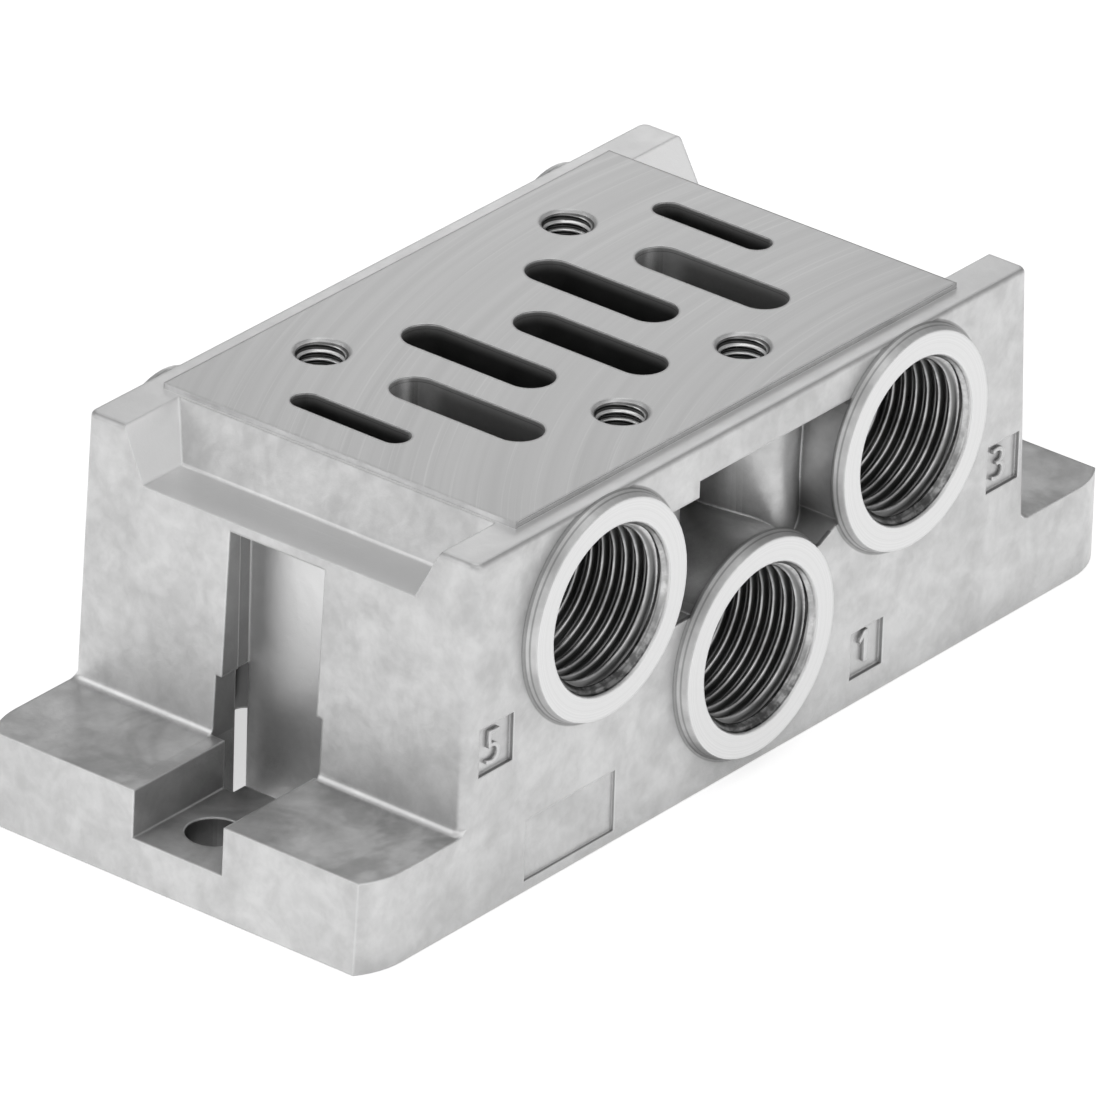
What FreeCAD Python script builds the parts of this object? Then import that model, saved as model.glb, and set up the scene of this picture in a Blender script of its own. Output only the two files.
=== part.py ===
import FreeCAD, Part
import math
import os
from FreeCAD import Vector

# Pneumatic valve subbase: one die-cast aluminium block on two mounting feet.
# X runs along the block, -Y is the face with supply and exhaust ports 1, 3 and 5,
# +Y is the face with ports 2 and 4 and pilot ports 12 and 14, and Z is up.
# The origin lies on the mounting plane, under the middle of the block.
# All sizes are in millimetres.

# Block and feet
overall_length = 110.0
body_width = 46.0
cast_height = 36.4
foot_height = 9.4
body_top_length = 81.2
body_draft_deg = 2.9
foot_draft_deg = 1.5
foot_corner_radius = 8.5
foot_corner_runout = 1.6
body_corner_radius = 1.0
cast_edge_radius = 0.5
foot_junction_radius = 0.8

# Machined interface on top
flat_rise = 0.6
flat_length = 65.0
flat_width = 41.4
air_slot_length = 17.0
air_slot_width = 4.95
pilot_slot_length = 13.5
pilot_slot_width = 3.1
port_pitch = 9.0
pilot_slot_x = 26.5
front_slot_y = -3.2
rear_slot_y = 2.75
pilot_slot_y = 3.5
interface_bolt_y = 14.0
interface_thread_diameter = 5.0
interface_thread_depth = 11.0
interface_chamfer_diameter = 5.5
interface_point_depth = 1.25

# Threaded ports, cut at the major diameter of their threads
main_thread_diameter = 16.662
main_thread_depth = 12.0
main_mouth_diameter = 17.0
main_core_diameter = 14.0
pilot_thread_diameter = 9.728
pilot_thread_depth = 8.0
pilot_mouth_diameter = 10.0
pilot_core_diameter = 8.2
outer_port_x = 22.5
outer_port_z = 25.5
centre_port_z = 12.7
rear_port_x = 11.5
rear_port_z = 12.7
pilot_port_x = 28.5
pilot_port_z = 28.5

# Raised rings round the port mouths
ring_rise = 1.3
ring_flare = 0.5
main_ring_width = 2.3
pilot_ring_width = 2.1

# How far the ducts behind the threads run, as places on Y
outer_duct_end_y = -6.0
centre_duct_end_y = -7.5
rear_duct_end_y = 7.0
pilot_duct_end_y = 8.0
duct_wall = 2.2
drill_point_run = 0.3
drill_point_ratio = 0.55

# Lowest points of the air passages under the slots
outer_slot_floor_z = 21.5
centre_slot_floor_z = 8.5
rear_slot_floor_z = 8.5
pilot_slot_floor_z = 26.5

# Open pockets at both ends of the top, between the corner horns
end_pocket_depth = 5.2
end_pocket_wall_run = 2.8
horn_top_width = 4.1
horn_wall_run = 2.9

# Coring pocket in the front face between the three ports
front_pocket_top_z = 32.8
front_pocket_ledge_drop = 1.7
front_pocket_ledge_x = -8.5
front_pocket_floor_z = 19.0
front_pocket_back_y = -11.0
front_pocket_lip_x = 10.1
front_pocket_lip_run = 3.0
front_pocket_lip_rise = 1.5
bolt_boss_radius = 5.7

# Channels down the end faces: open below the step, between two lips above it
channel_back_x = 37.0
channel_top_z = 30.2
channel_width = 12.6
channel_lip_gap = 11.2
channel_lip_inner_x = 39.3
channel_step_z = 15.5

# Notches through the feet, with a tongue that reaches into the channel
notch_width = 10.6
notch_centre_y = -0.5
notch_floor = 4.5
tongue_inset = 1.2
tongue_end_x = 40.4
mounting_hole_inset = 6.0
mounting_hole_diameter = 5.5

# Coring pockets in the underside; the rear ones open into the channels
rear_pocket_height = 15.0
under_pocket_height = 13.0
under_wall = 4.0
under_end_wall_x = 38.8
front_under_inner_y = -8.0
under_port_gap = 1.5
under_corner_radius = 1.5

# Recessed panels for port numbers and the bare name field
panel_size = 4.9
panel_depth = 0.4
panel_5_x = -37.25
panel_5_z = 17.05
panel_1_x = 17.85
panel_1_z = 5.1
panel_3_x = 37.9
panel_3_z = 16.9
field_length = 13.0
field_height = 6.3
field_x = -26.1
field_z = 4.25
field_depth = 0.25

# Values worked out from the sizes above
half_length = overall_length / 2
half_width = body_width / 2
top_z = cast_height + flat_rise
body_lean = math.tan(math.radians(body_draft_deg))
foot_lean = math.tan(math.radians(foot_draft_deg))
body_top_x = body_top_length / 2
body_foot_x = body_top_x + body_lean * (cast_height - foot_height)
foot_top_x = half_length - foot_lean * foot_height
main_thread_radius = main_thread_diameter / 2
pilot_thread_radius = pilot_thread_diameter / 2
main_ring_radius = main_mouth_diameter / 2 + main_ring_width
pilot_ring_radius = pilot_mouth_diameter / 2 + pilot_ring_width
main_duct_radius = main_thread_radius + duct_wall
ring_face_y = half_width + ring_rise
channel_half = channel_width / 2
beyond = 10.0
tiny = 0.01


def box(x1, x2, y1, y2, z1, z2):
    """Box between two corners, given in any order on X."""
    x_low, x_high = min(x1, x2), max(x1, x2)
    corner = Vector(x_low, y1, z1)
    return Part.makeBox(x_high - x_low, y2 - y1, z2 - z1, corner)


def polygon_face(points):
    """Flat face inside a closed polygon."""
    return Part.Face(Part.makePolygon(points + [points[0]]))


def prism_along_y(outline_xz, y1, y2):
    """Prism with an outline in X and Z, between two places on Y."""
    face = polygon_face([Vector(x, y1, z) for x, z in outline_xz])
    return face.extrude(Vector(0, y2 - y1, 0))


def rounded_pocket(x1, x2, y1, y2, z1, z2, radius):
    """Box whose upright edges are rounded."""
    block = box(x1, x2, y1, y2, z1, z2)
    uprights = [e for e in block.Edges if abs(e.Vertexes[0].Z - e.Vertexes[1].Z) > 0.5 * (z2 - z1)]
    return block.makeFillet(radius, uprights)


def slot_down(x, y, length, width, z_floor, z_top):
    """Upright slot with round ends, long along Y."""
    r = width / 2
    run = length / 2 - r
    corners = [Vector(x - r, y - run, z_floor), Vector(x + r, y - run, z_floor)]
    corners += [Vector(x + r, y + run, z_floor), Vector(x - r, y + run, z_floor)]
    low_mid = Vector(x, y - run - r, z_floor)
    high_mid = Vector(x, y + run + r, z_floor)
    edges = [
        Part.Arc(corners[0], low_mid, corners[1]).toShape(),
        Part.LineSegment(corners[1], corners[2]).toShape(),
        Part.Arc(corners[2], high_mid, corners[3]).toShape(),
        Part.LineSegment(corners[3], corners[0]).toShape(),
    ]
    return Part.Face(Part.Wire(edges)).extrude(Vector(0, 0, z_top - z_floor))


def port_tool(x, z, face_y, thread_r, thread_depth, mouth_r, core_r, end_y):
    """Turned cutting shape of one port: chamfered mouth, thread bore and duct."""
    inward = -1 if face_y > 0 else 1
    chamfer = mouth_r - thread_r
    duct_depth = abs(face_y - end_y)
    profile = [
        (-beyond, 0),
        (-beyond, mouth_r),
        (0, mouth_r),
        (chamfer, thread_r),
        (thread_depth, thread_r),
        (thread_depth + thread_r - core_r, core_r),
        (duct_depth - core_r * drill_point_run, core_r),
        (duct_depth, core_r * drill_point_ratio),
        (duct_depth, 0),
    ]
    points = [Vector(x + r, face_y + inward * d, z) for d, r in profile]
    return polygon_face(points).revolve(Vector(x, face_y, z), Vector(0, 1, 0), 360)


def port_ring(x, z, side, ring_r):
    """Raised ring with a flared flank on the front or the rear face."""
    base = Vector(x, side * half_width, z)
    return Part.makeCone(ring_r + ring_flare, ring_r, ring_rise, base, Vector(0, side, 0))


def cylinder_y(x, z, radius, y1, y2):
    """Cylinder along Y between two places."""
    return Part.makeCylinder(radius, y2 - y1, Vector(x, y1, z), Vector(0, 1, 0))


def plan_outline():
    """Outline of the feet from above, with corners that run out at the end faces."""
    r = foot_corner_radius
    rise = r - foot_corner_runout
    cy = half_width - r
    cx = half_length - math.sqrt(r * r - rise * rise)
    end_y = cy + rise
    turn = 0.5 * math.acos(rise / r)
    mid_x = cx + r * math.sin(turn)
    mid_y = cy + r * math.cos(turn)
    edges = []
    for sx, sy in ((1, 1), (-1, 1), (-1, -1), (1, -1)):
        a = Vector(sx * cx, sy * half_width, 0)
        m = Vector(sx * mid_x, sy * mid_y, 0)
        b = Vector(sx * half_length, sy * end_y, 0)
        edges.append(Part.Arc(a, m, b).toShape())
    edges.append(Part.makeLine(Vector(-cx, half_width, 0), Vector(cx, half_width, 0)))
    edges.append(Part.makeLine(Vector(-cx, -half_width, 0), Vector(cx, -half_width, 0)))
    edges.append(Part.makeLine(Vector(half_length, -end_y, 0), Vector(half_length, end_y, 0)))
    edges.append(Part.makeLine(Vector(-half_length, -end_y, 0), Vector(-half_length, end_y, 0)))
    wire = Part.Wire(Part.__sortEdges__(edges))
    return Part.Face(wire).extrude(Vector(0, 0, top_z))


def raw_casting():
    """Drafted block standing on its two feet, with rounded outer edges."""
    outline = [
        (-half_length, 0),
        (half_length, 0),
        (foot_top_x, foot_height),
        (body_foot_x, foot_height),
        (body_top_x, cast_height),
        (-body_top_x, cast_height),
        (-body_foot_x, foot_height),
        (-foot_top_x, foot_height),
    ]
    block = prism_along_y(outline, -half_width, half_width).common(plan_outline())
    uprights = []
    for edge in block.Edges:
        level = abs(edge.Vertexes[0].Z - edge.Vertexes[1].Z) < tiny
        if not level and body_top_x < abs(edge.CenterOfMass.x) < body_foot_x:
            uprights.append(edge)
    block = block.makeFillet(body_corner_radius, uprights)
    rims = []
    for edge in block.Edges:
        if all(abs(v.Z - cast_height) < tiny for v in edge.Vertexes):
            rims.append(edge)
    block = block.makeFillet(cast_edge_radius, rims)
    junctions = []
    for edge in block.Edges:
        p = edge.CenterOfMass
        if abs(p.z - foot_height) < tiny and abs(abs(p.x) - body_foot_x) < tiny:
            junctions.append(edge)
    return block.makeFillet(foot_junction_radius, junctions)


def end_pocket(side):
    """Pocket with three sloping walls between the two horns of one end."""
    floor_z = cast_height - end_pocket_depth
    open_x = body_foot_x + beyond
    wall_x = flat_length / 2
    wall_y = half_width - horn_top_width
    sections = []
    for z, x, half_y in (
        (floor_z, wall_x + end_pocket_wall_run, wall_y - horn_wall_run),
        (top_z, wall_x, wall_y),
    ):
        points = [
            Vector(side * open_x, -half_y, z),
            Vector(side * x, -half_y, z),
            Vector(side * x, half_y, z),
            Vector(side * open_x, half_y, z),
        ]
        sections.append(Part.makePolygon(points + [points[0]]))
    return Part.makeLoft(sections, True, True)


def channel(side):
    """Channel in one end face, which drops through the base behind the notch in its foot."""
    back_x = side * channel_back_x
    lip_x = side * channel_lip_inner_x
    foot_x = side * body_foot_x
    outer_x = side * (half_length + beyond)
    lip_half = channel_lip_gap / 2
    notch_low_y = notch_centre_y - notch_width / 2
    notch_high_y = notch_centre_y + notch_width / 2
    drop = box(back_x, foot_x, -channel_half, channel_half, -beyond, foot_height)
    tongue = box(side * tongue_end_x, foot_x, notch_low_y + tongue_inset, notch_high_y - tongue_inset,
                 -beyond, notch_floor)
    return [
        box(back_x, lip_x, -channel_half, channel_half, foot_height - tiny, channel_top_z),
        box(back_x, outer_x, -lip_half, lip_half, channel_step_z - tiny, channel_top_z),
        box(back_x, outer_x, -channel_half, channel_half, foot_height - tiny, channel_step_z),
        box(foot_x, outer_x, notch_low_y, notch_high_y, notch_floor, foot_height),
        drop.cut(tongue),
    ]


def front_pocket():
    """Coring pocket between the front ports, with ducts and bolt bosses left standing."""
    left_x = -outer_port_x + 0.5 * main_ring_radius
    right_x = -left_x
    outline = [
        (left_x, front_pocket_floor_z),
        (left_x, front_pocket_top_z - front_pocket_ledge_drop),
        (front_pocket_ledge_x, front_pocket_top_z - front_pocket_ledge_drop),
        (front_pocket_ledge_x, front_pocket_top_z),
        (right_x, front_pocket_top_z),
        (right_x, front_pocket_floor_z + front_pocket_lip_rise),
        (front_pocket_lip_x + front_pocket_lip_run, front_pocket_floor_z + front_pocket_lip_rise),
        (front_pocket_lip_x, front_pocket_floor_z),
    ]
    pocket = prism_along_y(outline, -half_width - 1, front_pocket_back_y)
    keep = [
        cylinder_y(-outer_port_x, outer_port_z, main_ring_radius, -half_width - beyond, 0),
        cylinder_y(outer_port_x, outer_port_z, main_ring_radius, -half_width - beyond, 0),
        cylinder_y(0, centre_port_z, main_ring_radius, -half_width - beyond, 0),
        slot_down(0, front_slot_y, air_slot_length + 2 * duct_wall, air_slot_width + 2 * duct_wall,
                  0, top_z),
    ]
    for side in (-1, 1):
        boss_at = Vector(side * port_pitch, -interface_bolt_y, 0)
        keep.append(Part.makeCylinder(bolt_boss_radius, top_z, boss_at))
    return pocket.cut(keep)


def under_pockets(side):
    """Open pockets under one half of the block, and the window from the rear one to the channel."""
    outer_x = side * under_end_wall_x
    y_limit = half_width - under_wall
    rear_x = side * (rear_port_x + main_duct_radius)
    front_x = side * (main_duct_radius + under_port_gap)
    rear = rounded_pocket(rear_x, outer_x, channel_half, y_limit, -beyond, rear_pocket_height,
                          under_corner_radius)
    front = rounded_pocket(front_x, outer_x, -y_limit, front_under_inner_y, -beyond, under_pocket_height,
                           under_corner_radius)
    window = box(side * channel_back_x, outer_x, channel_half - tiny, channel_half + under_corner_radius,
                 -beyond, rear_pocket_height)
    return [rear, front, window]


def panel(x, z, length, height, depth):
    """Shallow recess in the front face."""
    face_y = -half_width
    return box(x - length / 2, x + length / 2, face_y - 1, face_y + depth, z - height / 2, z + height / 2)


def air_passages():
    """Slots, interface bolt holes and threaded ports."""
    tools = []
    above = top_z + 1
    for x in (-2 * port_pitch, 2 * port_pitch):
        tools.append(slot_down(x, front_slot_y, air_slot_length, air_slot_width, outer_slot_floor_z, above))
    tools.append(slot_down(0, front_slot_y, air_slot_length, air_slot_width, centre_slot_floor_z, above))
    for x in (-port_pitch, port_pitch):
        tools.append(slot_down(x, rear_slot_y, air_slot_length, air_slot_width, rear_slot_floor_z, above))
    for x in (-pilot_slot_x, pilot_slot_x):
        tools.append(slot_down(x, pilot_slot_y, pilot_slot_length, pilot_slot_width,
                               pilot_slot_floor_z, above))
    main = (main_thread_radius, main_thread_depth, main_mouth_diameter / 2, main_core_diameter / 2)
    pilot = (pilot_thread_radius, pilot_thread_depth, pilot_mouth_diameter / 2, pilot_core_diameter / 2)
    for x in (-outer_port_x, outer_port_x):
        tools.append(port_tool(x, outer_port_z, -ring_face_y, *main, outer_duct_end_y))
    tools.append(port_tool(0, centre_port_z, -ring_face_y, *main, centre_duct_end_y))
    for x in (-rear_port_x, rear_port_x):
        tools.append(port_tool(x, rear_port_z, ring_face_y, *main, rear_duct_end_y))
    for x in (-pilot_port_x, pilot_port_x):
        tools.append(port_tool(x, pilot_port_z, ring_face_y, *pilot, pilot_duct_end_y))
    return tools


def bolt_holes():
    """Four threaded holes of the interface, each with a chamfer and a drilled point."""
    r = interface_thread_diameter / 2
    mouth = interface_chamfer_diameter / 2
    tools = []
    rear = [(-2 * port_pitch, interface_bolt_y), (2 * port_pitch, interface_bolt_y)]
    front = [(-port_pitch, -interface_bolt_y), (port_pitch, -interface_bolt_y)]
    for x, y in rear + front:
        floor = top_z - interface_thread_depth
        profile = [
            (0, top_z + 1),
            (mouth, top_z + 1),
            (mouth, top_z),
            (r, top_z - (mouth - r)),
            (r, floor),
            (0, floor - interface_point_depth),
        ]
        points = [Vector(x + px, y, pz) for px, pz in profile]
        tools.append(polygon_face(points).revolve(Vector(x, y, 0), Vector(0, 0, 1), 360))
    return tools


def build_subbase():
    """The whole casting as one solid."""
    body = raw_casting()
    flat = box(-flat_length / 2, flat_length / 2, -flat_width / 2, flat_width / 2, cast_height - 1, top_z)
    rings = [
        port_ring(-outer_port_x, outer_port_z, -1, main_ring_radius),
        port_ring(outer_port_x, outer_port_z, -1, main_ring_radius),
        port_ring(0, centre_port_z, -1, main_ring_radius),
        port_ring(-rear_port_x, rear_port_z, 1, main_ring_radius),
        port_ring(rear_port_x, rear_port_z, 1, main_ring_radius),
        port_ring(-pilot_port_x, pilot_port_z, 1, pilot_ring_radius),
        port_ring(pilot_port_x, pilot_port_z, 1, pilot_ring_radius),
    ]
    coring = [front_pocket()]
    for side in (-1, 1):
        coring.extend(channel(side))
        coring.extend(under_pockets(side))
        hole_at = Vector(side * (half_length - mounting_hole_inset), 0, -1)
        coring.append(Part.makeCylinder(mounting_hole_diameter / 2, foot_height, hole_at))
    coring.append(panel(panel_5_x, panel_5_z, panel_size, panel_size, panel_depth))
    coring.append(panel(panel_1_x, panel_1_z, panel_size, panel_size, panel_depth))
    coring.append(panel(panel_3_x, panel_3_z, panel_size, panel_size, panel_depth))
    coring.append(panel(field_x, field_z, field_length, field_height, field_depth))
    body = body.cut(coring)
    body = body.fuse([flat] + rings)
    body = body.cut([end_pocket(-1), end_pocket(1)] + air_passages() + bolt_holes())
    return body.removeSplitter()


subbase = build_subbase()
print("solids", len(subbase.Solids), "valid", subbase.isValid(), "volume", round(subbase.Volume, 1))
box_found = subbase.BoundBox
print("X", box_found.XMin, box_found.XMax, "Y", box_found.YMin, box_found.YMax, "Z", box_found.ZMin,
      box_found.ZMax)
os.makedirs("parts", exist_ok=True)
subbase.Solids[0].exportStep("parts/subbase_body.step")
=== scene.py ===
import math
from collections import namedtuple

import bmesh
import bpy
from mathutils import Matrix, Vector


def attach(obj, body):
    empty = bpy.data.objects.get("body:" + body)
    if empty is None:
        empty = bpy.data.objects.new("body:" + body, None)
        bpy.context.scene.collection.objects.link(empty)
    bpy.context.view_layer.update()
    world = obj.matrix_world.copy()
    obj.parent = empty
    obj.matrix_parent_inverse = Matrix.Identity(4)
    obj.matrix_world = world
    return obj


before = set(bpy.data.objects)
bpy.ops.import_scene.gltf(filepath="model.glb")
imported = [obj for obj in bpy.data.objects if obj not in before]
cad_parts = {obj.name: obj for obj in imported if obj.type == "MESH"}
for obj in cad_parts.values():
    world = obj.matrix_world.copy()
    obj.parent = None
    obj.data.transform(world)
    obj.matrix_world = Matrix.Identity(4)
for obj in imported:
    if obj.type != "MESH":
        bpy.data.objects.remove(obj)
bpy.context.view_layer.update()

MM = 0.001

# Faces and levels of the block, in mm; its front is at negative Y
FLAT_Z = 37.0
CAST_Z = 36.4
FLAT_END_X = 32.5
RING_FACE_Y = 24.3
FRONT_FACE_Y = -23.0
PANEL_DEPTH = 0.4

# Limits of the painted regions, in mm. Feet and walls above them
FEET_BELOW_Z, WALLS_FROM_Z = 12.0, 9.0
# Recessed panels: their lowest and highest level, and the outermost side
PANEL_LOW_Z, PANEL_HIGH_Z, PANEL_SIDE_X = 0.5, 19.8, 40.36
# Recesses of the casting: channel down each end, end pockets beside the horns, front pocket
CHANNEL_BACK_X, CHANNEL_SIDE_Y, CHANNEL_HALF_Y = 37.0, 5.95, 6.4
END_POCKET_Z, END_POCKET_HALF_Y = 31.0, 19.5
POCKET_FOOT_X, POCKET_FOOT_Z, POCKET_FOOT_HALF_Y = 35.25, 31.25, 16.2
FRONT_POCKET_BACK_Y = -11.0
# Air slots: the field they lie in, and the middle and half width of the two outer ones
SLOT_FIELD_X, SLOT_FIELD_BACK_Y, SLOT_FIELD_FRONT_Y = 31.5, 19.5, -10.4
OUTER_SLOT_X, OUTER_SLOT_HALF_X, OUTER_SLOT_BACK_Y = 18.0, 3.0, 7.0
# Screw holes in the feet, and the fillet where the body meets the feet
HOLE_X, HOLE_WALL_RADIUS = 49.0, 2.8
FILLET_X, FILLET_Z = 41.0, 9.8

# Threads: radii, pitch and lengths, and the radius of the foot of the ring round the mouth
Thread = namedtuple("Thread", "major minor pitch mouth depth lead foot")
G38 = Thread(major=8.331, minor=7.475, pitch=1.337, mouth=8.5, depth=12.0, lead=1.55, foot=11.3)
G18 = Thread(major=4.864, minor=4.283, pitch=0.907, mouth=5.0, depth=8.0, lead=1.55, foot=7.6)
M5 = Thread(major=2.5, minor=2.067, pitch=0.8, mouth=2.75, depth=11.0, lead=0.68, foot=0.0)
THREAD_END_GAP = 0.05
STEPS_PER_PITCH = 12

Port = namedtuple("Port", "name x z side thread")
PORTS = [
    Port("thread_port_5", -22.5, 25.5, -1, G38),
    Port("thread_port_1", 0.0, 12.7, -1, G38),
    Port("thread_port_3", 22.5, 25.5, -1, G38),
    Port("thread_port_4", -11.5, 12.7, 1, G38),
    Port("thread_port_2", 11.5, 12.7, 1, G38),
    Port("thread_port_14", -28.5, 28.5, 1, G18),
    Port("thread_port_12", 28.5, 28.5, 1, G18),
]
# Screw holes of the flat: name, X, Y
BOLTS = [
    ("thread_bolt_rear_left", -18.0, 14.0),
    ("thread_bolt_rear_right", 18.0, 14.0),
    ("thread_bolt_front_left", -9.0, -14.0),
    ("thread_bolt_front_right", 9.0, -14.0),
]
# Numerals: text, left edge, right edge, bottom, top
NUMERALS = [
    ("5", -38.6, -36.6, 15.4, 18.8),
    ("1", 16.9, 18.0, 3.9, 7.2),
    ("3", 36.3, 38.3, 15.4, 18.8),
]
# Outline of the narrow numeral one, in parts of its width and height
ONE = [(0.55, 0.0), (1.0, 0.0), (1.0, 1.0), (0.6, 1.0), (0.0, 0.78), (0.0, 0.62), (0.55, 0.80)]

# Greys of the metal, from darker to lighter where there are two
CAST_GREYS = (0.53, 0.70)
FLAT_GREYS = (0.56, 0.61)
RING_GREYS = (0.69, 0.76)
BORE_GREY = 0.66
# Grey of the painted shade deep in the bores
BORE_DEPTH_SHADE_GREY = 0.22
# Grey of the painted shade in the air slots
SLOT_SHADE_GREY = 0.15
# Grey of the painted highlight along edges
EDGE_HIGHLIGHT_GREY = 0.92
# Grey of the painted highlight lines
PAINTED_HIGHLIGHT_GREY = 0.95
# Grey of the painted shade on steps
STEP_SHADE_GREY = 0.16
# Grey of the painted shade lines on the rings
RING_SHADE_LINE_GREY = 0.12
MILL_MARK_LIFT = 0.07
EDGE_RADIUS = 0.35 * MM
# Reach of the ambient occlusion that paints shade into recesses
RECESS_SHADE_REACH = 13.0 * MM
CAST_METALLIC, BRIGHT_METALLIC = 0.78, 0.92


class Shader:
    """Short calls for the nodes of one material. Inputs are numbers or sockets."""

    def __init__(self, name):
        self.material = bpy.data.materials.new(name)
        self.material.use_nodes = True
        self.tree = self.material.node_tree
        self.tree.nodes.clear()

    def add(self, kind, **settings):
        made = self.tree.nodes.new(kind)
        for name, value in settings.items():
            setattr(made, name, value)
        return made

    def link(self, a, b):
        self.tree.links.new(a, b)

    def plug(self, value, socket):
        if isinstance(value, (int, float)):
            socket.default_value = value
        else:
            self.link(value, socket)

    def math(self, operation, *values):
        made = self.add("ShaderNodeMath", operation=operation)
        for i, value in enumerate(values):
            self.plug(value, made.inputs[i])
        return made.outputs[0]

    def chain(self, operation, values):
        result = values[0]
        for value in values[1:]:
            result = self.math(operation, result, value)
        return result

    def product(self, *values):
        return self.chain("MULTIPLY", values)

    def total(self, *values):
        return self.chain("ADD", values)

    def most(self, *values):
        return self.chain("MAXIMUM", values)

    def least(self, *values):
        return self.chain("MINIMUM", values)

    def above(self, value, limit):
        return self.math("GREATER_THAN", value, limit)

    def below(self, value, limit):
        return self.math("LESS_THAN", value, limit)

    def size(self, value):
        return self.math("ABSOLUTE", value)

    def off(self, value, middle):
        return self.size(self.math("SUBTRACT", value, middle))

    def outside(self, mask):
        return self.math("SUBTRACT", 1.0, mask)

    def distance(self, a, b):
        return self.math("SQRT", self.total(self.product(a, a), self.product(b, b)))

    def ramp(self, value, low, high, out_low=0.0, out_high=1.0):
        made = self.add("ShaderNodeMapRange", interpolation_type="SMOOTHSTEP")
        made.inputs["From Min"].default_value = low
        made.inputs["From Max"].default_value = high
        made.inputs["To Min"].default_value = out_low
        made.inputs["To Max"].default_value = out_high
        self.link(value, made.inputs["Value"])
        return made.outputs["Result"]

    def mix(self, factor, a, b):
        made = self.add("ShaderNodeMix", data_type="FLOAT")
        for i, value in ((0, factor), (2, a), (3, b)):
            self.plug(value, made.inputs[i])
        return made.outputs[0]

    def noise(self, vector, scale, detail, roughness, distortion=0.0):
        made = self.add("ShaderNodeTexNoise")
        made.inputs["Scale"].default_value = scale
        made.inputs["Detail"].default_value = detail
        made.inputs["Roughness"].default_value = roughness
        made.inputs["Distortion"].default_value = distortion
        self.link(vector, made.inputs["Vector"])
        return made.outputs["Fac"]

    def split(self, vector):
        made = self.add("ShaderNodeSeparateXYZ")
        self.link(vector, made.inputs[0])
        return made.outputs

    def vector(self, *values):
        made = self.add("ShaderNodeCombineXYZ")
        for i, value in enumerate(values):
            self.plug(value, made.inputs[i])
        return made.outputs[0]

    def vector_math(self, operation, *vectors):
        made = self.add("ShaderNodeVectorMath", operation=operation)
        for i, vector in enumerate(vectors):
            self.link(vector, made.inputs[i])
        return made.outputs

    def paint(self, grey, coats):
        """Lays coats over a grey, one after another. Each is a mask, its strength and a grey."""
        for mask, strength, coat in coats:
            if strength != 1.0:
                mask = self.product(mask, strength)
            grey = self.mix(mask, grey, coat)
        return grey

    def principled(self, grey):
        """Adds the surface shader, with the grey as its colour."""
        surface = self.add("ShaderNodeBsdfPrincipled")
        self.link(surface.outputs[0], self.add("ShaderNodeOutputMaterial").inputs[0])
        colour = self.add("ShaderNodeCombineColor")
        for i in range(3):
            self.link(grey, colour.inputs[i])
        self.link(colour.outputs[0], surface.inputs["Base Color"])
        return surface


# Where a point lies, in mm, and how far its face looks along each axis
At = namedtuple("At", "place x y z abs_x abs_y nx ny nz")


def find_place(sh):
    """Reads the place and the true normal once, for all masks of a material."""
    place = sh.add("ShaderNodeTexCoord").outputs["Object"]
    x, y, z = [sh.product(value, 1000.0) for value in sh.split(place)]
    normal = sh.add("ShaderNodeNewGeometry").outputs["True Normal"]
    nx, ny, nz = [sh.size(value) for value in sh.split(normal)]
    return At(place, x, y, z, sh.size(x), sh.size(y), nx, ny, nz)


def port_masks(sh, at):
    """Bores of the ports, and how far a point is from the nearest port's axis and ring foot."""
    bore_start_y, ring_start_y, elsewhere = 6.0, 22.9, 99.0
    bores, from_axis, from_foot = [], [], []
    for port in PORTS:
        from_port = sh.distance(sh.math("SUBTRACT", at.x, port.x), sh.math("SUBTRACT", at.z, port.z))
        outward = sh.product(at.y, port.side)
        bores.append(sh.product(sh.below(from_port, port.thread.mouth + 0.02),
                                sh.above(outward, bore_start_y)))
        other_side = sh.outside(sh.above(outward, ring_start_y))
        far = sh.total(from_port, sh.product(other_side, elsewhere))
        from_axis.append(far)
        from_foot.append(sh.off(far, port.thread.foot + 0.03))
    bores = sh.product(sh.most(*bores), sh.below(at.z, FLAT_Z - 0.05))
    return bores, sh.least(*from_axis), sh.least(*from_foot)


def slot_shade_mask(sh, at):
    """Painted shade in the air slots under the machined flat, darker with depth. The two outer ones
    are shallow and painted lighter.
    """
    shafts = sh.product(sh.below(at.abs_x, SLOT_FIELD_X), sh.below(at.abs_y, SLOT_FIELD_BACK_Y),
                        sh.above(at.y, SLOT_FIELD_FRONT_Y),
                        sh.ramp(at.z, FLAT_Z - 0.15, FLAT_Z - 1.6))
    outer = sh.product(sh.below(sh.off(at.abs_x, OUTER_SLOT_X), OUTER_SLOT_HALF_X),
                       sh.below(at.y, OUTER_SLOT_BACK_Y))
    outer_strength = sh.ramp(at.y, 3.5, 1.0, 0.0, 0.5)
    return sh.product(shafts, sh.mix(outer, 1.0, outer_strength))


def flat_step_shade_mask(sh, at, at_ends):
    """Painted shade on the upright step round the flat, with stronger lines at its top and foot."""
    step = sh.product(sh.above(at.z, CAST_Z + 0.03), sh.below(at.nz, 0.3), sh.outside(at_ends))
    lines = sh.most(sh.above(at.z, FLAT_Z - 0.08), sh.below(at.z, CAST_Z + 0.12))
    return sh.product(step, sh.mix(lines, 0.06, 0.55))


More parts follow.
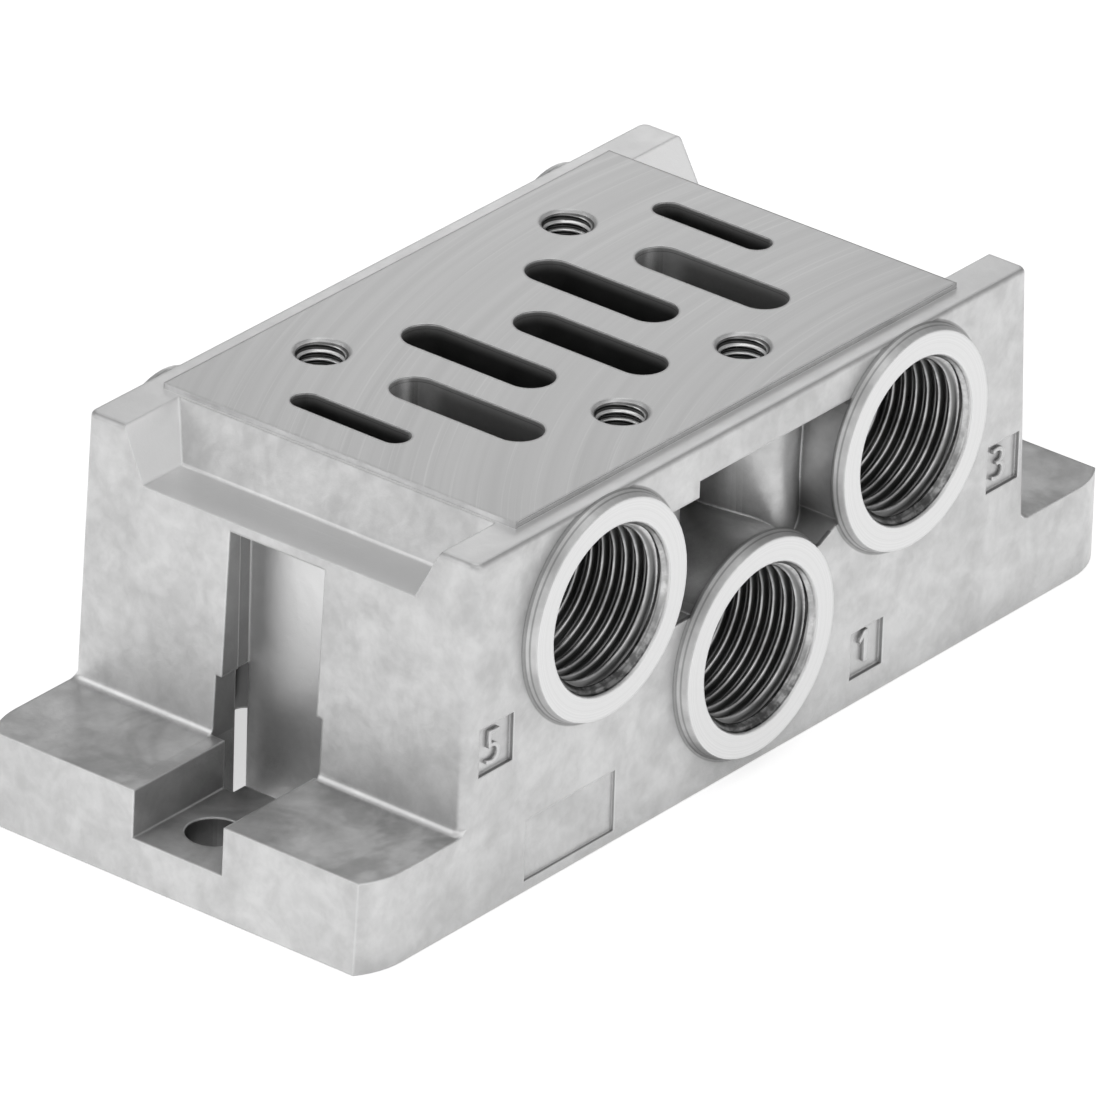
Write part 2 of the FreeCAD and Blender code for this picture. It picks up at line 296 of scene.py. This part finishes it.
def panel_step_shade_mask(sh, at):
    """Painted shade on the upright steps round the recessed panels, and more weakly round the numerals
    in them.
    """
    step = sh.product(
        sh.below(at.y, FRONT_FACE_Y + PANEL_DEPTH + 0.05),
        sh.above(at.y, FRONT_FACE_Y + 0.03),
        sh.below(at.ny, 0.5),
        sh.below(at.z, PANEL_HIGH_Z),
        sh.above(at.z, PANEL_LOW_Z),
        sh.below(at.abs_x, PANEL_SIDE_X),
    )
    high_x, high_half, high_z = 37.45, 1.3, 15.1
    low_x, low_half, low_z = 17.45, 0.8, 3.5
    high_numerals = sh.product(sh.below(sh.off(at.abs_x, high_x), high_half), sh.above(at.z, high_z))
    low_numeral = sh.product(sh.below(sh.off(at.x, low_x), low_half), sh.above(at.z, low_z))
    numerals = sh.most(high_numerals, low_numeral)
    return sh.product(step, sh.mix(numerals, 1.0, 0.45))


def mill_marks(sh, at):
    """Sweeping marks of the face mill, fine and wide, as arcs about one far point."""
    arc_centre = sh.vector(0.02, -0.085, 0.0)
    away = sh.vector_math("SUBTRACT", at.place, arc_centre)[0]
    length = sh.vector_math("LENGTH", away)["Value"]
    fine = sh.vector(sh.product(length, 3500.0), sh.product(at.x, 0.022))
    wide = sh.vector(sh.product(length, 900.0), sh.product(at.x, 0.008))
    return sh.noise(fine, 1.0, 3.0, 0.6), sh.noise(wide, 1.0, 2.0, 0.5)


def cast_grey(sh, at, cloudy):
    """Grey of the cast skin, with stains on the feet, painted shade in recesses and on some walls, and
    painted light on the channel backs, high faces and horn walls.
    """
    blotch = sh.noise(at.place, 130.0, 3.0, 0.6, 0.6)
    facing_up = sh.product(sh.ramp(at.nz, 0.85, 0.97), sh.below(at.z, FEET_BELOW_Z))
    stained = sh.product(facing_up, sh.ramp(blotch, 0.62, 0.38, 0.0, 0.30))
    # Painted shade: ambient occlusion darkens the recesses, except on faces looking along X
    recess_occlusion = sh.add("ShaderNodeAmbientOcclusion", samples=6)
    recess_occlusion.inputs["Distance"].default_value = RECESS_SHADE_REACH
    painted_recess_shade = sh.product(sh.ramp(recess_occlusion.outputs["AO"], 0.62, 0.15, 0.0, 0.70),
                           sh.ramp(at.nx, 0.9, 0.7))
    grey = sh.product(sh.mix(cloudy, *CAST_GREYS), sh.outside(stained), sh.outside(painted_recess_shade))

    # Painted light: the back wall of each end channel is made lighter, more so higher up
    channel_back_light = sh.product(sh.below(sh.off(at.abs_x, CHANNEL_BACK_X), 0.05),
                              sh.below(at.abs_y, CHANNEL_HALF_Y),
                              sh.ramp(at.z, WALLS_FROM_Z, WALLS_FROM_Z + 10.0))
    # Painted light on upward faces at the level of the end pockets and above
    high_faces_light = sh.product(sh.ramp(at.nz, 0.9, 0.98), sh.above(at.z, END_POCKET_Z - 0.5))
    # Painted light on the inner walls of the horns
    horn_walls_light = sh.product(sh.ramp(at.ny, 0.7, 0.85), sh.ramp(at.ny, 0.99, 0.95),
                            sh.above(at.z, END_POCKET_Z), sh.above(at.abs_x, FLAT_END_X),
                            sh.below(at.abs_y, END_POCKET_HALF_Y))
    # Painted shade on the back wall of the front pocket
    pocket_back_shade = sh.product(sh.below(sh.off(at.y, FRONT_POCKET_BACK_Y), 0.06),
                             sh.above(at.x, 9.0), sh.above(at.z, 18.0))
    # Painted shade on the side walls of the end channels
    channel_side_shade = sh.product(sh.below(sh.off(at.abs_y, CHANNEL_SIDE_Y), 0.4), sh.above(at.ny, 0.8),
                              sh.above(at.abs_x, CHANNEL_BACK_X), sh.above(at.z, WALLS_FROM_Z))
    # Painted shade on the walls of the screw holes in the feet
    from_hole = sh.distance(sh.math("SUBTRACT", at.abs_x, HOLE_X), at.y)
    hole_wall_shade = sh.product(sh.below(from_hole, HOLE_WALL_RADIUS), sh.below(at.nz, 0.5))
    return sh.paint(grey, [
        (channel_back_light, 1.0, 0.84),
        (high_faces_light, 0.85, 0.88),
        (horn_walls_light, 0.98, 0.96),
        (pocket_back_shade, 0.9, 0.19),
        (channel_side_shade, 0.65, 0.24),
        (hole_wall_shade, 0.85, 0.10),
    ])


def painted_highlight_mask(sh, at):
    """Painted highlight lines where the body meets the feet and along the foot of each end pocket's
    wall.
    """
    fillet = sh.product(sh.ramp(sh.off(at.z, FILLET_Z), 0.38, 0.15), sh.ramp(at.nz, 0.25, 0.5),
                        sh.ramp(at.nz, 0.995, 0.96), sh.above(at.abs_x, FILLET_X))
    wall_foot = sh.product(sh.ramp(sh.off(at.z, POCKET_FOOT_Z), 0.25, 0.1),
                           sh.ramp(sh.off(at.abs_x, POCKET_FOOT_X), 0.3, 0.15),
                           sh.below(at.abs_y, POCKET_FOOT_HALF_Y))
    return sh.most(fillet, wall_foot)


def ring_shade_line_mask(sh, at, from_foot):
    """Painted shade lines at the foot of each ring and half way up its flank."""
    at_foot = sh.product(sh.ramp(from_foot, 0.26, 0.08), sh.below(at.abs_y, -FRONT_FACE_Y + 0.25))
    half_way = sh.off(at.abs_y, -FRONT_FACE_Y + 0.6)
    on_flank = sh.product(sh.ramp(half_way, 0.12, 0.04), sh.below(from_foot, 0.7))
    return sh.most(sh.product(at_foot, 0.6), sh.product(on_flank, 0.5))


def aluminium_material():
    """Die-cast skin with milled top, turned ring faces and bores, all placed by position, with painted
    shade deep in the bores, slots and recesses and painted light on some faces and edges.
    """
    sh = Shader("cast_and_machined_aluminium")
    at = find_place(sh)
    flat = sh.above(at.z, FLAT_Z - 0.05)
    ring = sh.above(at.abs_y, RING_FACE_Y - 0.03)
    machined = sh.most(flat, ring)
    bores, from_axis, from_foot = port_masks(sh, at)
    # Painted shade deeper inside the port bores
    bore_depth_shade = sh.product(bores, sh.ramp(at.abs_y, RING_FACE_Y - 0.4, RING_FACE_Y - 3.0))
    # Painted shade in the air slots
    shafts = slot_shade_mask(sh, at)
    at_ends = sh.product(sh.below(sh.off(at.abs_x, FLAT_END_X + 0.15), 0.5),
                         sh.above(at.z, CAST_Z - 0.25))
    # Painted shade on the steps round the flat and the panels
    steps = sh.most(flat_step_shade_mask(sh, at, at_ends), sh.product(panel_step_shade_mask(sh, at), 0.65))

    # Clouds of the cast skin, and the marks of milling and turning
    cloud = sh.noise(at.place, 210.0, 4.0, 0.55, 0.8)
    small_cloud = sh.noise(at.place, 800.0, 3.0, 0.6, 0.3)
    stain = sh.noise(at.place, 95.0, 2.0, 0.5, 1.2)
    grain = sh.noise(at.place, 6000.0, 2.0, 0.6)
    cloudy = sh.total(sh.product(sh.ramp(cloud, 0.3, 0.72), 0.5),
                      sh.product(sh.ramp(small_cloud, 0.3, 0.7), 0.28),
                      sh.product(sh.ramp(stain, 0.35, 0.7), 0.22))
    mill, wide_mill = mill_marks(sh, at)
    turned = sh.noise(sh.vector(sh.product(from_axis, 7.0)), 1.0, 2.0, 0.6)

    # Edges are where the rounded normal leaves the true one; they get a painted highlight
    bevel = sh.add("ShaderNodeBevel", samples=4)
    bevel.inputs["Radius"].default_value = EDGE_RADIUS
    true_normal = sh.add("ShaderNodeNewGeometry").outputs["True Normal"]
    likeness = sh.vector_math("DOT_PRODUCT", bevel.outputs[0], true_normal)["Value"]
    edge = sh.product(sh.ramp(likeness, 0.995, 0.86), sh.outside(at_ends))

    flat_grey = sh.total(sh.mix(sh.ramp(wide_mill, 0.3, 0.7), *FLAT_GREYS),
                         sh.ramp(mill, 0.54, 0.72, 0.0, MILL_MARK_LIFT))
    ring_grey = sh.mix(sh.ramp(turned, 0.3, 0.7), *RING_GREYS)
    surface = sh.principled(sh.paint(cast_grey(sh, at, cloudy), [
        (flat, 1.0, flat_grey),
        (ring, 1.0, ring_grey),
        (bores, 1.0, BORE_GREY),
        (bore_depth_shade, 1.0, BORE_DEPTH_SHADE_GREY),
        (shafts, 1.0, SLOT_SHADE_GREY),
        (edge, 0.75, EDGE_HIGHLIGHT_GREY),
        (painted_highlight_mask(sh, at), 0.6, PAINTED_HIGHLIGHT_GREY),
        (steps, 1.0, STEP_SHADE_GREY),
        (ring_shade_line_mask(sh, at, from_foot), 1.0, RING_SHADE_LINE_GREY),
    ]))

    rough = sh.paint(sh.mix(cloudy, 0.44, 0.30), [
        (flat, 1.0, sh.mix(mill, 0.27, 0.34)),
        (ring, 1.0, 0.34),
        (bores, 1.0, 0.30),
    ])
    sh.link(rough, surface.inputs["Roughness"])
    bright_metal = sh.most(machined, bores, shafts)
    sh.link(sh.mix(bright_metal, CAST_METALLIC, BRIGHT_METALLIC), surface.inputs["Metallic"])

    fine = sh.mix(machined, grain, sh.mix(flat, turned, mill))
    bump = sh.add("ShaderNodeBump")
    bump.inputs["Strength"].default_value = 0.6
    bump.inputs["Distance"].default_value = 1.0 * MM
    height = sh.total(sh.product(fine, 0.012), sh.product(small_cloud, sh.outside(machined), 0.05))
    sh.link(height, bump.inputs["Height"])
    sh.link(bevel.outputs[0], bump.inputs["Normal"])
    sh.link(bump.outputs[0], surface.inputs["Normal"])
    return sh.material


def thread_material(name, across, along, chamfer_at, greys):
    """Cut thread with a chamfer and bright crests over roots with painted shade, and painted shade low
    in the chamfer. Its bore runs along one axis.
    """
    sh = Shader(name)
    coords = sh.add("ShaderNodeTexCoord")
    within = sh.split(coords.outputs["Generated"])
    place = coords.outputs["Object"]
    first, second = ["XYZ".index(axis) for axis in across]
    from_axis = sh.distance(sh.math("SUBTRACT", within[first], 0.5),
                            sh.math("SUBTRACT", within[second], 0.5))
    # Painted shade in the thread roots
    root = sh.ramp(sh.product(from_axis, 2.0), 0.897, 0.925)
    streak = sh.noise(place, 900.0, 3.0, 0.6)
    streaky = sh.ramp(streak, 0.3, 0.7)
    # Painted shade low in the chamfer, mottled by the streaks
    low = sh.ramp(within[second], 0.30, 0.10)
    low_shade = sh.product(low, sh.ramp(streak, 0.62, 0.38, 0.55, 1.0))
    chamfer_grey = sh.mix(low_shade, sh.mix(streaky, *greys["chamfer"]), greys["low_shade"])
    reach = sh.size(sh.product(sh.split(place)["XYZ".index(along)], 1000.0))
    chamfer = sh.ramp(reach, chamfer_at - 0.06, chamfer_at + 0.06)
    line = sh.ramp(sh.off(reach, chamfer_at + 0.75), 0.11, 0.04)
    surface = sh.principled(sh.paint(sh.mix(streaky, *greys["crest"]), [
        (root, 1.0, greys["root"]),
        (chamfer, 1.0, chamfer_grey),
        (line, 0.6, 0.15),
    ]))
    sh.link(sh.mix(streak, 0.24, 0.36), surface.inputs["Roughness"])
    surface.inputs["Metallic"].default_value = 1.0
    return sh.material


def add_object(name, mesh):
    made = bpy.data.objects.new(name, mesh)
    bpy.context.scene.collection.objects.link(made)
    return made


def mesh_from(name, bm):
    bmesh.ops.recalc_face_normals(bm, faces=bm.faces)
    mesh = bpy.data.meshes.new(name)
    bm.to_mesh(mesh)
    bm.free()
    return mesh


def thread_sleeve(name, mouth, right, up, inward, thread, around):
    """Helical thread ridges as a closed sleeve that lines a plain bore."""
    start = thread.mouth - thread.major + 0.02
    end = thread.depth - THREAD_END_GAP
    outer = thread.major + 0.05
    root = thread.major - 0.015
    steps = int(round((end - start) / thread.pitch * STEPS_PER_PITCH))
    bm = bmesh.new()

    def ring_of(d, radius_at):
        row = []
        for i in range(around):
            turn = 2 * math.pi * i / around
            r = radius_at(d, turn)
            p = mouth + inward * d + right * (r * math.cos(turn)) + up * (r * math.sin(turn))
            row.append(bm.verts.new(p * MM))
        return row

    def thread_radius(d, turn):
        phase = (d / thread.pitch + turn / (2 * math.pi)) % 1.0
        wave = min(1.0, max(0.0, (abs(2.0 * phase - 1.0) - 0.07) / 0.70))
        wave = wave * wave * (3 - 2 * wave) * 0.35 + wave * 0.65
        r = thread.minor + (root - thread.minor) * wave
        pitches_left = (end - d) / thread.pitch
        if pitches_left < 1.0:
            r = thread.minor + (r - thread.minor) * max(0.0, pitches_left)
        chamfer = thread.mouth - d * (thread.mouth - thread.minor) / thread.lead
        return min(root, max(r, chamfer))

    rows = [ring_of(start + (end - start) * j / steps, thread_radius) for j in range(steps + 1)]
    rows.append(ring_of(end, lambda d, turn: outer))
    rows.append(ring_of(start, lambda d, turn: outer))
    for a, b in zip(rows, rows[1:] + rows[:1]):
        for i in range(around):
            k = (i + 1) % around
            bm.faces.new((a[i], a[k], b[k], b[i]))
    mesh = mesh_from(name, bm)
    for poly in mesh.polygons:
        poly.use_smooth = True
    return add_object(name, mesh)


def outline_mesh(name, points):
    """Plate with the given outline, one unit thick."""
    bm = bmesh.new()
    base = bm.faces.new([bm.verts.new((x, y, -0.5)) for x, y in points])
    raised = bmesh.ops.extrude_face_region(bm, geom=[base])
    for item in raised["geom"]:
        if isinstance(item, bmesh.types.BMVert):
            item.co.z += 1.0
    return mesh_from(name, bm)


def text_mesh(name, text):
    """Plate in the shape of a plain numeral, with slightly rounded edges."""
    curve = bpy.data.curves.new(name + "_text", "FONT")
    curve.body = text
    curve.size = 1.0
    curve.extrude = 0.5
    curve.bevel_depth = 0.01
    curve.offset = -0.02
    carrier = add_object(name + "_text", curve)
    bpy.context.view_layer.update()
    mesh = bpy.data.meshes.new_from_object(carrier)
    bpy.data.objects.remove(carrier)
    return mesh


def numeral(name, text, x1, x2, z1, z2):
    """Raised numeral standing on the floor of its recessed panel."""
    mesh = outline_mesh(name, ONE) if text == "1" else text_mesh(name, text)
    low = [min(v.co[i] for v in mesh.vertices) for i in range(3)]
    high = [max(v.co[i] for v in mesh.vertices) for i in range(3)]
    floor_y = FRONT_FACE_Y + PANEL_DEPTH + 0.05
    proud_y = FRONT_FACE_Y + 0.02
    for v in mesh.vertices:
        fx, fz, fy = [(v.co[i] - low[i]) / (high[i] - low[i]) for i in range(3)]
        y = floor_y + (proud_y - floor_y) * fy
        v.co = Vector((x1 + (x2 - x1) * fx, y, z1 + (z2 - z1) * fz)) * MM
    mesh.update()
    return add_object(name, mesh)


def dress(piece, material):
    """Gives a piece its material and the body it rides on."""
    piece.data.materials.clear()
    piece.data.materials.append(material)
    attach(piece, "root")


skin = aluminium_material()
port_thread_metal = thread_material("cut_thread_of_ports", "XZ", "Y", RING_FACE_Y - G38.lead, {
    "chamfer": (0.40, 0.66), "crest": (0.42, 0.62), "root": 0.20, "low_shade": 0.12})
# Screw holes: painted highlight on the crests, painted shade in the roots
screw_thread_metal = thread_material("cut_thread_of_screw_holes", "XY", "Z", FLAT_Z - 0.45, {
    "chamfer": (0.14, 0.24), "crest": (0.82, 0.96), "root": 0.07, "low_shade": 0.14})

for body_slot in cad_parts["subbase_body"].material_slots:
    body_slot.material = skin

AXIS_X, AXIS_Y, AXIS_Z = Vector((1, 0, 0)), Vector((0, 1, 0)), Vector((0, 0, 1))
for port in PORTS:
    port_mouth = Vector((port.x, port.side * RING_FACE_Y, port.z))
    dress(thread_sleeve(port.name, port_mouth, AXIS_X * -port.side, AXIS_Z, AXIS_Y * -port.side,
                        port.thread, around=120), port_thread_metal)
for bolt_name, bolt_x, bolt_y in BOLTS:
    bolt_mouth = Vector((bolt_x, bolt_y, FLAT_Z))
    dress(thread_sleeve(bolt_name, bolt_mouth, AXIS_X, AXIS_Y, -AXIS_Z, M5, around=64),
          screw_thread_metal)
for digit, *edges in NUMERALS:
    dress(numeral("numeral_" + digit, digit, *edges), skin)


def floor_material():
    """Pale floor that shows white to the camera and keeps a soft shadow."""
    sh = Shader("pale_floor")
    diffuse = sh.add("ShaderNodeBsdfDiffuse")
    diffuse.inputs["Color"].default_value = (0.8, 0.8, 0.8, 1)
    glow = sh.add("ShaderNodeEmission")
    glow.inputs["Color"].default_value = (1, 1, 1, 1)
    glow.inputs["Strength"].default_value = 0.62
    path = sh.add("ShaderNodeLightPath").outputs
    seen = sh.most(path["Is Camera Ray"], path["Is Glossy Ray"], path["Is Transmission Ray"])
    pale = sh.add("ShaderNodeAddShader")
    sh.link(diffuse.outputs[0], pale.inputs[0])
    sh.link(glow.outputs[0], pale.inputs[1])
    mix = sh.add("ShaderNodeMixShader")
    sh.link(seen, mix.inputs[0])
    sh.link(diffuse.outputs[0], mix.inputs[1])
    sh.link(pale.outputs[0], mix.inputs[2])
    sh.link(mix.outputs[0], sh.add("ShaderNodeOutputMaterial").inputs[0])
    return sh.material


FLOOR_HALF, FLOOR_Z = 6.0, -2e-5
corners = [(-1, -1), (1, -1), (1, 1), (-1, 1)]
floor_mesh = bpy.data.meshes.new("floor")
floor_mesh.from_pydata([(x * FLOOR_HALF, y * FLOOR_HALF, FLOOR_Z) for x, y in corners],
                       [], [(0, 1, 2, 3)])
floor_mesh.materials.append(floor_material())
floor = add_object("floor", floor_mesh)

world = bpy.data.worlds.new("studio")
bpy.context.scene.world = world
world.use_nodes = True
background = world.node_tree.nodes["Background"]
background.inputs["Color"].default_value = (1, 1, 1, 1)
background.inputs["Strength"].default_value = 0.33

LAMP_AIM = Vector((0, 0, 0.018))


def area_light(name, place, size, power):
    """Soft square lamp aimed at the middle of the block."""
    lamp = bpy.data.lights.new(name, "AREA")
    lamp.shape = "SQUARE"
    lamp.size = size
    lamp.energy = power
    holder = add_object(name, lamp)
    holder.location = place
    aim = LAMP_AIM - Vector(place)
    holder.rotation_euler = aim.to_track_quat("-Z", "Y").to_euler()


area_light("front_lamp", (-0.10, -0.95, 0.38), 0.8, 1.45)
area_light("high_front_lamp", (-0.30, -0.60, 0.82), 0.7, 1.2)
area_light("left_lamp", (-0.90, -0.25, 0.38), 0.7, 1.1)
area_light("left_rear_lamp", (-0.62, 0.52, 0.42), 0.6, 1.1)
area_light("right_lamp", (0.70, -0.70, 0.30), 0.5, 0.40)
area_light("rear_lamp", (0.185, 0.148, 0.150), 0.11, 0.024)
area_light("top_lamp", (0.05, 0.15, 1.1), 0.8, 1.7)

# Camera at the photograph's angle; lengths in mm
PHOTO_WIDTH_PX = 1100
SENSOR_WIDTH = 36.0
CAMERA_FOCAL_PX = 15203.6
CAMERA_DISTANCE = 1400.0
CAMERA_LEFT, CAMERA_DOWN = 1.245, 20.062
azimuth, elevation, roll = math.radians(-51.911), math.radians(27.626), math.radians(1.848)
back = Vector((math.sin(azimuth) * math.cos(elevation), -math.cos(azimuth) * math.cos(elevation),
               math.sin(elevation)))
level_right = Vector((math.cos(azimuth), math.sin(azimuth), 0))
upright = back.cross(level_right)
cam_right = level_right * math.cos(roll) + upright * math.sin(roll)
cam_up = -level_right * math.sin(roll) + upright * math.cos(roll)
spot = back * CAMERA_DISTANCE - cam_right * CAMERA_LEFT - cam_up * CAMERA_DOWN + Vector((0, 0, FLAT_Z))
camera = bpy.data.cameras.new("camera")
camera.sensor_fit = "HORIZONTAL"
camera.sensor_width = SENSOR_WIDTH
camera.lens = CAMERA_FOCAL_PX / PHOTO_WIDTH_PX * SENSOR_WIDTH
camera.clip_start = 0.05
camera.clip_end = 50.0
eye = add_object("camera", camera)
turn = Matrix((cam_right, cam_up, back)).transposed().to_4x4()
eye.matrix_world = Matrix.Translation(spot * MM) @ turn
bpy.context.scene.camera = eye
bpy.context.scene.view_settings.view_transform = "Standard"
